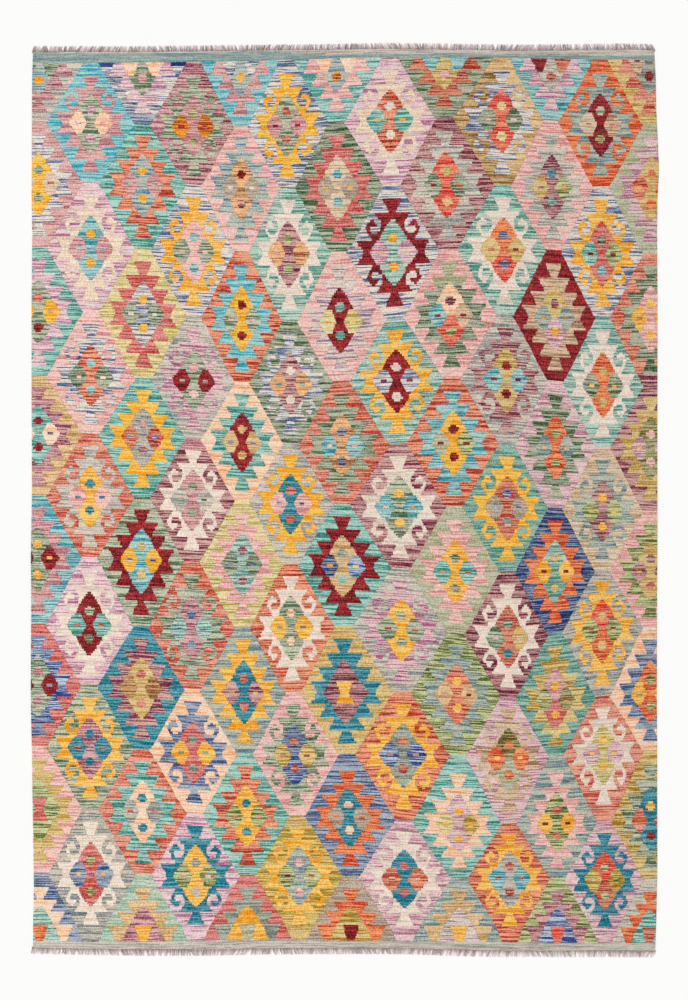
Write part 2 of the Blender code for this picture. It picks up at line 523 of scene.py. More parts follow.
class Shader:
    """A material's node tree, with one method that adds any node."""

    def __init__(self, name):
        self.material = bpy.data.materials.new(name)
        self.material.use_nodes = True
        self.tree = self.material.node_tree
        self.surface = self.tree.nodes["Principled BSDF"]

    def add(self, kind, settings=None, inputs=None, output=0):
        """Adds a node: its settings first, then its sockets' values and links."""
        node = self.tree.nodes.new(kind)
        for setting, value in (settings or {}).items():
            setattr(node, setting, value)
        self.fill(node, inputs or {})
        return Maths(self, node.outputs[output])

    def fill(self, node, inputs):
        for socket, value in inputs.items():
            if isinstance(value, Maths):
                self.tree.links.new(value.socket, node.inputs[socket])
            else:
                node.inputs[socket].default_value = value

    def attribute(self, name, output="Fac"):
        return self.add("ShaderNodeAttribute", {"attribute_name": name}, output=output)

    def parts(self, vector):
        """The X, Y and Z of a vector."""
        first = self.add("ShaderNodeSeparateXYZ", inputs={0: vector})
        return [Maths(self, socket) for socket in first.socket.node.outputs]

    def noise(self, x, y, z, detail=1.0, output=0):
        """Smooth noise round NOISE_MEAN, or its colour where output is 1."""
        place = self.add("ShaderNodeCombineXYZ", inputs={0: x, 1: y, 2: z})
        return self.add("ShaderNodeTexNoise", output=output,
                        inputs={"Vector": place, "Scale": 1.0, "Detail": detail})

    def blend(self, amount, first, second, kind="MIX"):
        """Mixes two colours."""
        return self.add("ShaderNodeMix", {"data_type": "RGBA", "blend_type": kind},
                        {0: amount, 6: first, 7: second}, output=2)

    def tinted(self, tint, tone):
        """A colour made lighter or darker by a number."""
        return self.add("ShaderNodeVectorMath", {"operation": "SCALE"}, {0: tint, "Scale": tone})

    def finish(self, colours, height, relief, roughness, specular, sheen):
        """Gives the surface its colours and its relief, and the looks of matte wool."""
        bump = self.add("ShaderNodeBump",
                        inputs={"Strength": relief, "Distance": 1.0, "Height": height})
        self.fill(self.surface, {
            "Base Color": colours,
            "Normal": bump,
            "Roughness": roughness,
            "Specular IOR Level": specular,
            "Sheen Weight": sheen,
            "Sheen Roughness": WOOL_SHEEN_ROUGHNESS,
        })
        return self.material


NOISE_MEAN = 0.5
WOOL_SHEEN_ROUGHNESS = 0.6

# How much is added to a streak's broad noise: a finer noise, the yarn's share of streaks, the
# clouds and the heather. The streak sets in between two values of the sum.
THIN_PART = 0.85
THIN_LENGTH = 0.25           # the finer noise's size beside the broad one's
THIN_HEIGHT = 1 / 1.9
LEVEL_WAVER = 1.2            # how far a streak wavers, beside its height
SHARE_PART = 0.34
CLOUD_PART = 0.18
HEATHER_PART = 0.30
STREAK_ONSET = (0.44, 0.58)

# The wool's tone: its level, the clouds' part in it, the painted shade in the grooves between the
# beads of the weave, and the lightness at which the wool's tone varies as much as set. Darker wool
# varies more, in inverse proportion, and paler wool less.
PLAIN_TONE = 0.975
CLOUD_TONE = 0.12
BEAD_MEAN = 0.64
RIB_PART = 0.55              # how much of a bead's height is its rib's, and the rest its pick's
BEAD_PAINTED_SHADE = 0.30
EVEN_LIGHTNESS = 0.52
LEAST_LIGHTNESS = 0.1        # added to the lightness, so that black wool isn't all noise

BEAD_HEIGHT = 0.45 * MM
HEATHER_HEIGHT = 0.5 * MM
SLIT_WIDTH = 0.7 * MM
SLIT_DEPTH = 0.5 * MM


def wool_material(weave):
    """Hand-spun wool in slit tapestry: streaks, heather, slits and beads, with painted shade in the
    slits and between the beads and painted light towards the left.
    """
    shader = Shader("slit_tapestry_wool")
    warp, pick = weave.warp_pitch, weave.pick_pitch
    x, y, _ = shader.parts(shader.add("ShaderNodeUVMap", {"uv_map": "weave"}))
    left, right, _ = shader.parts(shader.attribute("run_edges", "Vector"))
    seed = shader.attribute("seed")
    share_of_streaks = shader.attribute("streak_share")

    def lumps(width, height, shift, detail=1.0):
        """Noise round 0 in lumps so wide and high, unlike that of any other shift."""
        return shader.noise(x / width, y / height, seed * shift, detail) - NOISE_MEAN

    heather = lumps(width=1.15 * warp, height=3.2 * pick, shift=1.0, detail=2.0)
    cloudy = lumps(width=0.14, height=0.035, shift=1.7)
    ribs = lumps(width=1.0 * warp, height=6.0 * pick, shift=3.7)
    chewed = lumps(width=1.7 * warp, height=4.0 * pick, shift=2.3)
    waver = lumps(width=0.08, height=0.03, shift=1.0)
    fleck = shader.noise(x / (1.9 * warp), y / (3.4 * pick), seed * 5.1, output=1)

    level = y / weave.streak_height + waver * LEVEL_WAVER + chewed * weave.chew
    broad = shader.noise(x / weave.streak_length, level, seed * 7.3)
    thin = shader.noise(x / (weave.streak_length * THIN_LENGTH), level / THIN_HEIGHT, seed * 3.1)
    streak = (broad + (thin - NOISE_MEAN) * THIN_PART + (share_of_streaks - 0.5) * SHARE_PART
              + cloudy * CLOUD_PART + heather * HEATHER_PART).between(*STREAK_ONSET)

    rib = x / warp
    bead_x = abs((rib * math.pi).sine())
    bead_y = abs(((y / pick * 0.5 + rib.floor() * 0.5) * math.pi).sine())
    bead = bead_x * RIB_PART + bead_y * (1 - RIB_PART)
    slit = left.least(right).between(0.0, SLIT_WIDTH)

    yarn = shader.attribute("yarn", "Color")
    streaks = shader.attribute("streak", "Color")
    plain = shader.blend(streak, yarn, streaks)
    lightness = shader.add("ShaderNodeRGBToBW", inputs={0: plain})
    # random unevenness of the wool, plus painted shade in the grooves between the beads of the weave
    uneven_and_bead_shade = (heather * (2 * weave.heather) + ribs * weave.ribs + cloudy * CLOUD_TONE
              + (bead - BEAD_MEAN) * BEAD_PAINTED_SHADE)
    tone = PLAIN_TONE + uneven_and_bead_shade * (EVEN_LIGHTNESS / (lightness + LEAST_LIGHTNESS))
    width = (RIGHT_WARP - LEFT_WARP) * warp
    # painted light: paler towards the left-hand edge, darker towards the right
    painted_light_slope = 1.0 + (0.5 - x / width) * weave.painted_light_falloff
    # painted shade in the slits between two areas
    shaded = 1.0 - weave.slit_shade * (1.0 - slit)
    wool = shader.blend(weave.fleck, plain, fleck, "SOFT_LIGHT")
    height = bead * BEAD_HEIGHT + heather * HEATHER_HEIGHT + slit * SLIT_DEPTH
    return shader.finish(shader.tinted(wool, tone * shaded * painted_light_slope), height, weave.relief,
                         roughness=0.95, specular=0.18, sheen=0.12)


PLY_LENGTH = 2.4 * MM        # of one turn of a warp end's plies
PLY_HEIGHT = 0.35 * MM
PLY_MEAN = 0.6
FUZZ_LENGTH = 0.6 * MM
FUZZ_HEIGHT = 0.2 * MM
WEAR_ONSET = (0.05, 0.85)    # shares of a warp end's length between which its tip's colour sets in
FUZZ_WEAR = 0.4              # how much the fuzz moves these

# A warp end's tone: its level, how much its yarn's own tone and the fuzz add to it, and the painted
# shade in the grooves between its plies
WARP_TONE = 0.42
YARN_TONE = 1.15
FUZZ_TONE = 0.30
PLY_PAINTED_SHADE = 0.30


def warp_material(fringe):
    """Twisted undyed warp ends: darker by the knots, paler and worn at the tips, with painted shade
    between the plies.
    """
    shader = Shader("twisted_warp_ends")
    along, turn, _ = shader.parts(shader.add("ShaderNodeUVMap", {"uv_map": "strand"}))
    tone = shader.attribute("tone")
    wear = shader.attribute("wear")
    ply = abs(((along / PLY_LENGTH + turn) * math.pi).sine())
    fuzz = shader.noise(along / FUZZ_LENGTH, turn * 9.0, tone * 31.0, detail=2.0) - NOISE_MEAN
    worn = (wear + fuzz * FUZZ_WEAR).between(*WEAR_ONSET)
    colours = shader.blend(worn, (*fringe.root_colour, 1.0), (*fringe.tip_colour, 1.0))
    # painted shade in the grooves between the plies, besides the yarn's own tone and fuzz
    light = tone * YARN_TONE + WARP_TONE + fuzz * FUZZ_TONE + (ply - PLY_MEAN) * PLY_PAINTED_SHADE
    height = ply * PLY_HEIGHT + fuzz * FUZZ_HEIGHT
    return shader.finish(shader.tinted(colours, light), height, relief=0.6,
                         roughness=0.92, specular=0.2, sheen=0.1)


PAPER_TONE = 0.995
MOTTLE_TONE = 0.01


def floor_material(studio):
    """Matte studio paper with a very faint mottle."""
    shader = Shader("studio_floor")
    place = shader.add("ShaderNodeTexCoord", output=3)
    mottle = shader.add("ShaderNodeTexNoise",
                        inputs={"Vector": place, "Scale": 3.0, "Detail": 2.0})
    tone = PAPER_TONE + (mottle - NOISE_MEAN) * MOTTLE_TONE
    shader.fill(shader.surface, {
        "Base Color": shader.tinted(studio.floor_colour, tone),
        "Roughness": 0.9,
        "Specular IOR Level": 0.1,
    })
    return shader.material


# ---------------- the loom's geometry

def curve_through(places, values, at):
    """Values at some places on smooth curves through a table, whose rows may be lists."""
    places = np.asarray(places, float)
    values = np.asarray(values, float)
    last = len(places) - 1
    ends = [(max(i - 1, 0), min(i + 1, last)) for i in range(last + 1)]
    slopes = np.array([(values[b] - values[a]) / (places[b] - places[a]) for a, b in ends])
    at = np.clip(at, places[0], places[-1])
    low = np.clip(np.searchsorted(places, at, side="right") - 1, 0, last - 1)
    span = places[low + 1] - places[low]
    t = (at - places[low]) / span
    return ((2 * t**3 - 3 * t**2 + 1) * values[low] + (t**3 - 2 * t**2 + t) * span * slopes[low]
            + (3 * t**2 - 2 * t**3) * values[low + 1] + (t**3 - t**2) * span * slopes[low + 1])


RIM_SPAN = (0.2, 0.8)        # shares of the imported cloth's thickness between which its rim lies
EDGE_MARGIN = 0.03           # metres that its wavering edges keep within
SETTLING_ROUNDS = 3          # a warp's place across and along depend on each other


class Outline:
    """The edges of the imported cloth, read from the middle of its rim."""

    def __init__(self, node):
        corner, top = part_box(node.name)
        low, high = (corner.z + part * (top.z - corner.z) for part in RIM_SPAN)
        rim = [v.co for v in node.data.vertices if low < v.co.z < high]
        self.left = sorted((p.y, p.x) for p in rim if p.x < corner.x + EDGE_MARGIN)
        self.right = sorted((p.y, p.x) for p in rim if p.x > top.x - EDGE_MARGIN)
        self.near = sorted((p.x, p.y) for p in rim if p.y < corner.y + EDGE_MARGIN)
        self.far = sorted((p.x, p.y) for p in rim if p.y > top.y - EDGE_MARGIN)

    @staticmethod
    def read(edge, at):
        places, values = zip(*edge)
        return np.interp(at, places, values)


class Loom:
    """Finds the place of any warp on any line of the weave."""

    def __init__(self, outline, inset):
        self.outline = outline
        self.inset = inset
        self.warps = [column * COLUMN_STEP for column in range(1, COLUMNS - 1)]
        self.lines = [([column * COLUMN_STEP for column in range(number % 2, COLUMNS, 2)],
                       [y * MM for y in row]) for number, row in enumerate(CROSS_LINES)]

    def sides(self, y):
        return (Outline.read(self.outline.left, y) + self.inset,
                Outline.read(self.outline.right, y) - self.inset)

    def cross_y(self, line, x, warps):
        """Y of the weave at a place counted in cross lines: -1 is the far end, 15 the near end."""
        far = Outline.read(self.outline.far, x) - self.inset
        near = Outline.read(self.outline.near, x) + self.inset
        knots = [far, *(curve_through(*row, warps) for row in self.lines), near]
        low = min(int(math.floor(line)) + 1, len(knots) - 2)
        part = line + 1 - low
        return knots[low] * (1 - part) + knots[low + 1] * part

    def place(self, line, warps):
        """X and Y of some warps on one line of the weave."""
        warps = np.asarray(warps, float)
        middles = [curve_through(UPRIGHT_LINES, [v * MM for v in row], line) for row in UPRIGHTS]
        half_width = max(x for _, x in self.outline.right)
        x = (2 * (warps - LEFT_WARP) / (RIGHT_WARP - LEFT_WARP) - 1) * half_width
        knots = [LEFT_WARP, 0, *self.warps, LAST_WARP, RIGHT_WARP]
        for _ in range(SETTLING_ROUNDS):
            y = self.cross_y(line, x, warps)
            left, right = self.sides(y)
            pitch = (middles[-1] - middles[0]) / (self.warps[-1] - self.warps[0])
            first = left - LEFT_WARP * pitch
            last = right - (RIGHT_WARP - LAST_WARP) * pitch
            x = np.array([np.interp(warp, knots, [left[i], first[i], *middles, last[i], right[i]])
                          for i, warp in enumerate(warps)])
        return x, self.cross_y(line, x, warps)


# ---------------- the pattern

def read_chart(text):
    """Rows of (area, reach) from a motif's chart, the hexagon's middle row first."""
    return [[(word[0], int(word[1:])) for word in row.split()]
            for row in text.strip().splitlines()]


PATTERN_SEED = 5
BAND_SEED = 9
WAVER_SEED = 12
SEEDS = (1, 60)              # an area's own seed, which sets its streaks, lies between these


class Pattern:
    """The areas of every row of the weave, from the charts and the colourways."""

    def __init__(self, stray):
        self.chance = random.Random(PATTERN_SEED)
        self.stray = stray
        self.charts = read_chart(STEPPED), read_chart(HOOKED)
        self.colourways = [[hexagon.split() for hexagon in column.splitlines()]
                           for column in COLOURWAYS.strip().split("\n\n")]
        self.halves = {}
        self.strays = {}
        self.seeds = {}

    def strayed(self, warp, place):
        """An edge on one line of the weave, moved a little and kept to quarter warps."""
        key = (round(warp, 2), place)
        if key not in self.strays:
            self.strays[key] = self.chance.gauss(0, self.stray)
        return round(4 * (key[0] + self.strays[key])) / 4

    def charted(self, column, line, upper):
        """One half of a hexagon: the (area, reach) of each row, from its middle row outwards."""
        key = (column, line, upper)
        if key in self.halves:
            return self.halves[key]
        colourway = self.colourways[column][line // 2]
        hourglass = colourway[AREAS.index("s")] == "-"
        barred = line == 0 and len(colourway) == len(AREAS)
        first_dot = DOT_ROW + (0 if upper else self.chance.randint(0, 1))
        chart = self.charts[0 if key in PLAIN_HALVES else column % 2]
        short = key in SHORT_HALVES
        rows = []
        for distance in range(ROWS_PER_LINE):
            charted = round(distance * SHORTENING) if short else distance
            row = list(chart[charted]) if charted < len(chart) else []
            if hourglass:
                inner = "d" if charted < HOURGLASS_ROWS else "c"
                filled = {"s": "c", "t": "c", "c": inner}
                row = [(filled.get(area, area), reach) for area, reach in row]
            elif 0 <= charted - first_dot < len(DOT_REACHES):
                row.insert(0, ("d", DOT_REACHES[charted - first_dot]))
            merged = []
            field = "b" if barred and distance < BAR_ROWS else "f"
            for area, reach in [*row, (field, HEXAGON_REACH)]:
                if merged and merged[-1][0] == area:
                    merged.pop()
                merged.append((area, reach))
            rows.append(merged)
        self.halves[key] = rows
        return rows

    def hexagon(self, column, line, distance, upper):
        """A hexagon's row: its areas from left to right, and their edges on both its lines."""
        middle = column * COLUMN_STEP
        away = -1 if upper else 1
        place = line * ROWS_PER_LINE + away * distance
        row = self.charted(column, line, upper)[distance]

        def step(side, reach):
            """An edge inside the hexagon, upright and on a whole warp."""
            warp = round(self.strayed(middle + side * reach, place))
            return warp, warp

        def border(side):
            """The hexagon's own edge, which runs straight from corner to corner."""
            ends = []
            for rows in (0, 1):
                part = (distance + rows) / ROWS_PER_LINE
                reach = HEXAGON_REACH - (HEXAGON_REACH - HEXAGON_TOP) * part
                ends.append(self.strayed(middle + side * reach, place + away * rows))
            return ends[::-1] if upper else ends

        edges = [border(-1), *(step(-1, reach) for _, reach in row[-2::-1]),
                 *(step(1, reach) for _, reach in row[:-1]), border(1)]
        half = "upper" if upper else "lower"

        def keys(areas, side):
            return [(column, line, area, half if area in CORE_AREAS else side)
                    for area, _ in areas]

        return keys(row[:0:-1], "left") + keys(row[:1], half) + keys(row[1:], "right"), edges

    def row(self, line, step):
        """Runs of a row some steps below a cross line: ends on its far and near line, and area.

        A hexagon's first row is the last one before the cross line that it begins at.
        """
        areas, edges = [], []
        for column in range(COLUMNS):
            if column % 2 == line % 2:
                more, ends = self.hexagon(column, line, step, False)
                if step == ROWS_PER_LINE - 1 and line + 2 <= LAST_LINE:
                    more = [(column, line + 2, "f", "upper")]
            else:
                more, ends = self.hexagon(column, line + 1, ROWS_PER_LINE - 1 - step, True)
            areas += more
            edges = edges[:-1] + ends
        far, near = (np.maximum.accumulate(np.clip(ends, LEFT_WARP, RIGHT_WARP)).tolist()
                     for ends in zip(*edges))
        return [(far[i:i + 2], near[i:i + 2], area) for i, area in enumerate(areas)
                if far[i] < far[i + 1] or near[i] < near[i + 1]]

    def yarn(self, key):
        """The yarn's name and the seed of an area's streaks."""
        column, line, area, part = key
        names = self.colourways[column][line // 2][AREAS.index(area)].split("/")
        name = names[PARTS.index(part) % len(names)]
        if key not in self.seeds:
            self.seeds[key] = self.chance.uniform(*SEEDS)
        return name, self.seeds[key]


# ---------------- the cloth

RIM_DROP = 0.35 * MM         # how much nearer to each other the two faces lie at the rim
RIM_CORNER = 0.75            # how far the rim stands out at a corner, as a share of its width
ROW_BENDS = 9                # radians of a row's slow bends in a metre

# Where the two faces lie on the baked picture: a corner and a size, as shares of it
TOP_PAGE = ((0.003, 0.003), (0.700, 0.994))
UNDER_PAGE = ((0.713, 0.003), (0.284, 0.420))


class Cloth:
    """Gathers the cloth's vertices and faces, and what the wool's shader reads on each of them."""

    TOP, RIM, UNDER = range(3)

    def __init__(self, loom, weave):
        self.loom = loom
        self.weave = weave
        self.chance = random.Random(WAVER_SEED)
        self.points = []
        self.index = {}
        self.line_points = []
        self.faces = []
        self.face_data = []
        self.corners = []

    def add_line(self, place, down, warps, wavers):
        """The vertices of one line of the weave, on top and underneath, and round its ends."""
        number = len(self.line_points)
        warps = sorted(warps)
        x, y = self.loom.place(place, warps)
        if wavers:
            phase = self.chance.uniform(0, 2 * math.pi)
            shift = self.chance.uniform(-0.5, 0.5)
            y = y + self.weave.row_waver * (0.5 * np.sin(ROW_BENDS * x + phase) + shift)
        lift = self.lift(x, y)
        edge = np.minimum(x - x[0], x[-1] - x) / max(self.weave.selvedge, 1e-6)
        cord = np.sin(np.clip(edge, 0, 1) * math.pi) * self.weave.selvedge_rise
        on_rim = (edge <= 0) | (number == 0)
        thickness = self.weave.thickness
        for i, warp in enumerate(warps):
            drop = RIM_DROP if on_rim[i] else 0
            self.put((number, warp, self.TOP), x[i], y[i], lift[i] + thickness + cord[i] - drop)
            self.put((number, warp, self.UNDER), x[i], y[i], lift[i] + drop)
        self.line_points.append((warps, down))

    def lift(self, x, y):
        """The low waves of a cloth that doesn't quite settle."""
        wave = np.sin(5.1 * x + 1.3 * y) * np.sin(3.7 * y - 1.9 * x + 0.6)
        ripple = np.sin(11.0 * x - 4.0 * y + 2.0) * np.sin(8.3 * y + 1.1)
        return self.weave.lift * (0.5 + 0.35 * wave + 0.15 * ripple)

    def put(self, key, x, y, z):
        self.index[key] = len(self.points)
        self.points.append((x, y, z))

    def add_run(self, number, far, near, yarn, seed):
        """One run of weft between a line and the next one, on top and underneath."""
        pitch = self.weave.warp_pitch
        loop = []
        for line, (start, end), order in ((number + 1, near, 1), (number, far, -1)):
            warps, down = self.line_points[line]
            for warp in [w for w in warps if start <= w <= end][::order]:
                edges = ((warp - start) * pitch if start > LEFT_WARP else 1.0,
                         (end - warp) * pitch if end < RIGHT_WARP else 1.0)
                loop.append((line, warp, (warp * pitch, -down, *edges)))
        for side, order in ((self.TOP, 1), (self.UNDER, -1)):
            self.faces.append([self.index[(line, warp, side)] for line, warp, _ in loop[::order]])
            self.face_data.append((yarn, seed))
            self.corners += [(side, *corner) for _, _, corner in loop[::order]]

    def add_rim(self):
        """The rounded rim between the top and the underside, all the way round."""
        last = len(self.line_points) - 1
        far, near = ([(number, warp) for warp in self.line_points[number][0]]
                     for number in (0, last))
        left = [(number, LEFT_WARP) for number in range(last, -1, -1)]
        right = [(number, RIGHT_WARP) for number in range(last + 1)]
        circuit = far[:-1] + right[:-1] + near[:0:-1] + left[:-1]
        for key in circuit:
            x, y, z_top = self.points[self.index[(*key, self.TOP)]]
            z_under = self.points[self.index[(*key, self.UNDER)]][2]
            out_x = -1 if key[1] == LEFT_WARP else 1 if key[1] == RIGHT_WARP else 0
            out_y = 1 if key[0] == 0 else -1 if key[0] == last else 0
            reach = self.loom.inset * (RIM_CORNER if out_x and out_y else 1)
            self.put((*key, self.RIM), x + out_x * reach, y + out_y * reach, (z_top + z_under) / 2)
        data = self.rim_yarns()
        for one, two in zip(circuit, circuit[1:] + circuit[:1]):
            for upper, lower in ((self.TOP, self.RIM), (self.RIM, self.UNDER)):
                keys = [(*one, upper), (*two, upper), (*two, lower), (*one, lower)]
                self.faces.append([self.index[key] for key in keys])
                self.face_data.append(data(one, two))
                side = self.TOP if upper == self.TOP else self.UNDER
                for number, warp, _ in keys:
                    down = self.line_points[number][1]
                    self.corners.append((side, warp * self.weave.warp_pitch, -down, 1.0, 1.0))

    def rim_yarns(self):
        """A look-up of the yarn that meets the rim between two of its points."""
        at_edges = {}
        for face, data in zip(self.faces, self.face_data):
            for one, two in zip(face, face[1:] + face[:1]):
                at_edges[(one, two)] = data
                at_edges[(two, one)] = data

        def find(one, two):
            return at_edges[(self.index[(*one, self.TOP)], self.index[(*two, self.TOP)])]
        return find

    def make_mesh(self, name):
        """The mesh, with each face's yarn and each corner's place in the weave."""
        mesh = bpy.data.meshes.new(name)
        mesh.from_pydata(self.points, [], self.faces)
        yarns = {}
        for line in YARNS.strip().splitlines():
            yarn, *tints, hundredths = line.split()
            body, streak = ([int(level) for level in tint.split(",")] for tint in tints)
            part = int(hundredths) / 100
            yarns[yarn] = (*self.dyed(body, streak, part), part)
        bodies, streaks, parts = zip(*(yarns[yarn] for yarn, _ in self.face_data))
        seeds = [seed for _, seed in self.face_data]
        parts = [part + SHARE_SPREAD * math.sin(40 * seed) for part, seed in zip(parts, seeds)]
        edges = [corner[3:] for corner in self.corners]
        add_attribute(mesh, "yarn", "FLOAT_COLOR", "FACE", bodies)
        add_attribute(mesh, "streak", "FLOAT_COLOR", "FACE", streaks)
        add_attribute(mesh, "seed", "FLOAT", "FACE", seeds)
        add_attribute(mesh, "streak_share", "FLOAT", "FACE", parts)
        add_attribute(mesh, "run_edges", "FLOAT2", "CORNER", edges)
        add_uv(mesh, "OFBake", self.bake_layout())
        add_uv(mesh, "weave", [corner[1:3] for corner in self.corners])
        return mesh

    def dyed(self, body, streak, part):
        """A yarn's own colour and its streaks', drawn apart by the streaks' contrast."""
        mean = [b * (1 - part) + s * part for b, s in zip(body, streak)]
        pair = []
        for tint in (body, streak):
            apart = [m + (t - m) * self.weave.streak_contrast for m, t in zip(mean, tint)]
            grey = sum(apart) / 3
            strong = [grey + (level - grey) * self.weave.dye for level in apart]
            kept = [min(max(level, DARKEST_LEVEL), PALEST_LEVEL) for level in strong]
            pair.append((*linear(kept), 1.0))
        return pair

    def bake_layout(self):
        """Where each corner lies on the baked picture."""
        loops = np.array([vertex for face in self.faces for vertex in face])
        points = np.array(self.points)[loops]
        low, high = points.min(0), points.max(0)
        shares = (points - low)[:, :2] / (high - low)[:2]
        under = np.array([corner[0] for corner in self.corners]) == self.UNDER
        mirrored = shares * (-1, 1) + (1, 0)
        top, below = (np.array(corner) + places * np.array(size)
                      for places, (corner, size) in ((shares, TOP_PAGE), (mirrored, UNDER_PAGE)))
        return np.where(under[:, None], below, top)


def add_attribute(mesh, name, kind, domain, values):
    field = {"FLOAT": "value", "FLOAT2": "vector", "FLOAT_COLOR": "color"}[kind]
    layer = mesh.attributes.new(name, kind, domain)
    layer.data.foreach_set(field, np.asarray(values, np.float32).ravel())


def add_uv(mesh, name, values):
    layer = mesh.uv_layers.new(name=name)
    layer.uv.foreach_set("vector", np.asarray(values, np.float32).ravel())


def weave_rows():
    """Every row of the weave from the far end: its place, counted in cross lines, and its runs."""
    weave = bpy.context.scene.kilim_weave
    pattern = Pattern(weave.stray)
    chance = random.Random(BAND_SEED)
    rows = []
    for i, (left, right) in enumerate(FAR_BAND):
        rows.append((i / FAR_BAND_ROWS - 1, band_runs(left, right, chance)))
    for line in range(LAST_LINE):
        for step in range(ROWS_PER_LINE):
            place = line + np.interp(step, TIER_ROWS, ODD_TIER_TOPS.get(line, TIER_TOPS))
            runs = [(far, near, *pattern.yarn(key)) for far, near, key in pattern.row(line, step)]
            rows.append((place, runs))
    for i, (left, right) in enumerate(NEAR_BAND):
        rows.append((LAST_LINE + i / NEAR_BAND_ROWS, band_runs(left, right, chance)))
    return rows


def band_runs(left, right, chance):
    """The one or two runs of a band's row."""
    split = BAND_SPLIT + chance.randint(-SPLIT_STRAY, SPLIT_STRAY)
    spans = [(LEFT_WARP, RIGHT_WARP, left)]
    if left != right:
        spans = [(LEFT_WARP, split, left), (split, RIGHT_WARP, right)]
    return [((start, end), (start, end), yarn, chance.uniform(*SEEDS))
            for start, end, yarn in spans]


def build_cloth():
    """Weaves the cloth row by row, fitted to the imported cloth's outline."""
    weave = bpy.context.scene.kilim_weave
    loom = Loom(Outline(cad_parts["cloth"]), weave.rim)
    cloth = Cloth(loom, weave)
    rows = weave_rows()
    selvedge = weave.selvedge / weave.warp_pitch
    extras = {LEFT_WARP + selvedge / 2, LEFT_WARP + selvedge,
              RIGHT_WARP - selvedge / 2, RIGHT_WARP - selvedge}
    ends = {LEFT_WARP, RIGHT_WARP, *range(LEFT_WARP, RIGHT_WARP, BAND_STEP)}

    def edges(number, line):
        """Warps where the runs of a row end on its far line, 0, or on its near line, 1."""
        runs = rows[number][1] if 0 <= number < len(rows) else []
        return {warp for run in runs for warp in run[line]}

    places = [place for place, _ in rows] + [LAST_LINE + 1]
    depths = [0.0]
    for one, two in zip(places, places[1:]):
        in_band = two <= 0 or one >= LAST_LINE
        depths.append(depths[-1] + (two - one) * (BAND_DEPTH if in_band else LINE_DEPTH))
    for number, (place, down) in enumerate(zip(places, depths)):
        warps = edges(number - 1, 1) | edges(number, 0) | extras
        if place <= 0 or place >= LAST_LINE:
            warps |= ends
        cloth.add_line(place, down, warps, 0 < number < len(rows))
    for number, (_, runs) in enumerate(rows):
        for far, near, yarn, seed in runs:
            cloth.add_run(number, far, near, yarn, seed)
    cloth.add_rim()
    return cloth.make_mesh("woven_cloth")


# ---------------- the fringes

FLATNESS = 0.85              # height of a yarn as a share of its width


def tube(points, radii, sides):
    """Vertices and faces of a tapered tube with closed ends, lying along the floor."""
    vertices = []
    path = np.asarray(points, float)
    tangents = np.gradient(path, axis=0)
    for centre, tangent, radius in zip(path, tangents, radii):
        across = np.array((tangent[1], -tangent[0], 0.0))
        across /= np.linalg.norm(across)
        for side in range(sides):
            angle = 2 * math.pi * side / sides
            offset = across * math.cos(angle) + np.array((0, 0, FLATNESS * math.sin(angle)))
            vertices.append(centre + offset * radius)
    faces = []
    last = len(path) - 1
    for ring in range(last):
        for side in range(sides):
            a, b = ring * sides + side, ring * sides + (side + 1) % sides
            faces.append((a, b, b + sides, a + sides))
    faces.append(tuple(range(sides))[::-1])
    faces.append(tuple(last * sides + side for side in range(sides)))
    return vertices, faces


# The fringes: the end that each is at and its side, where its combing and its draws start, and how
# much paler its wool is
FRINGES = (("far", 1, 3, -0.07), ("near", -1, 8, 0.08))
FRINGE_SEED = 17

STRAND_YARNS = 4             # yarns that hold together in a lock
STRAND_STRAY = 4.0 * MM      # usual sideways stray of such a strand's tips
STRAND_TONE = 0.8            # share of a yarn's tone that its strand has in common
ROOT_STRAY = 0.4 * MM        # sideways stray of a yarn's root, at most
TIP_STRAY = 1.2 * MM         # usual stray of its tip
BEND = 0.9 * MM              # usual bend of a yarn
LATE_TURN = 1.4              # the power of its length with which it turns towards its tip
INSET = 3 * MM               # from the cloth's corner to the middle of the first lock
KNOT_STANDOFF = (1.2 * MM, 2.4 * MM)   # from the cloth's edge to a knot
REST = 1.4 * MM              # height at which the knots lie and the yarns leave the cloth
LAYERS = (0.55 * MM, 1.35 * MM, 2.15 * MM)   # heights at which a lock's yarns come to lie
KNOT_STRAY = 0.1             # sideways stray of a knot, at most, as a share of a lock's width
KNOT_TONE = 0.5              # how light a knot is beside its lock

# A knot: places along it, as shares of its width, and its radius there in mm
KNOT_SHAPE = ((-0.5, 0.5), (-0.28, 1.1), (0, 1.3), (0.28, 1.1), (0.5, 0.5))
TIP_SHARE = 0.6              # width of a yarn near its tip, as a share of its root's
POINT_SHARE = 0.45           # and of its very end, as a share of that


class Locks:
    """Gathers the yarns and knots of one fringe."""

    SIDES = 5
    STEPS = 7

    def __init__(self):
        self.vertices = []
        self.faces = []
        self.tones = []
        self.wears = []
        self.uvs = []

    def add(self, points, radii, tone, wears):
        """A yarn or a knot: its path, its radii, its tone and how worn it is along the path."""
        vertices, faces = tube(points, radii, self.SIDES)
        start = len(self.vertices)
        self.vertices += vertices
        self.tones += [tone] * len(vertices)
        self.wears += [wear for wear in wears for _ in range(self.SIDES)]
        steps = np.linalg.norm(np.diff(np.asarray(points), axis=0), axis=1)
        run = np.concatenate(([0], np.cumsum(steps)))
        for face in faces:
            self.faces.append([start + vertex for vertex in face])
            first = face[0] % self.SIDES
            for vertex in face:
                turn = vertex % self.SIDES
                turn += self.SIDES if len(face) == 4 and turn < first else 0
                self.uvs.append((run[vertex // self.SIDES], turn / self.SIDES))


def combed_lean(x, phase):
    """From -1 to 1: which way the locks were last combed."""
    return 0.6 * math.sin(9.0 * x + phase) + 0.4 * math.sin(23.0 * x + 2.3 * phase)


